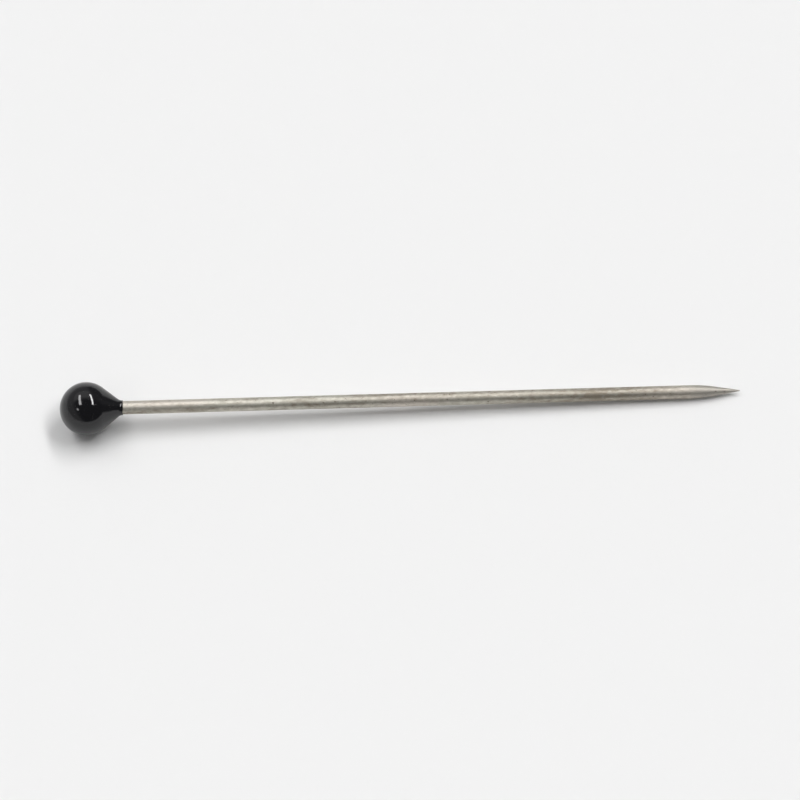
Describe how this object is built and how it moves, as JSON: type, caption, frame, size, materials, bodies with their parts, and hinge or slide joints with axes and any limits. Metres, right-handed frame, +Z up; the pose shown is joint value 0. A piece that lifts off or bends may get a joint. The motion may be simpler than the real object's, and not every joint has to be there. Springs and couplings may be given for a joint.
{
  "type": "straight pin",
  "caption": "Straight sewing pin: a plated steel shank ground to a sharp point, with a glossy black teardrop ball moulded on its blunt end.",
  "frame": {"origin": "on the pin's axis, at the end of the ball's neck, where the bare wire comes out", "axes": "+X along the wire to the point, with the ball on the -X side. Y and Z are square to the wire, and +Z is up as the pin lies"},
  "size_m": [0.038, 0.003, 0.003],
  "materials": {
    "plated_steel": "bright drawn wire with a thin nickel plating, semi-gloss, faint lengthwise drawing marks",
    "black_ball": "glossy black"
  },
  "bodies": {
    "root": {"steel_shank": "plated_steel", "ball_head": "black_ball"}
  },
  "joints": []
}
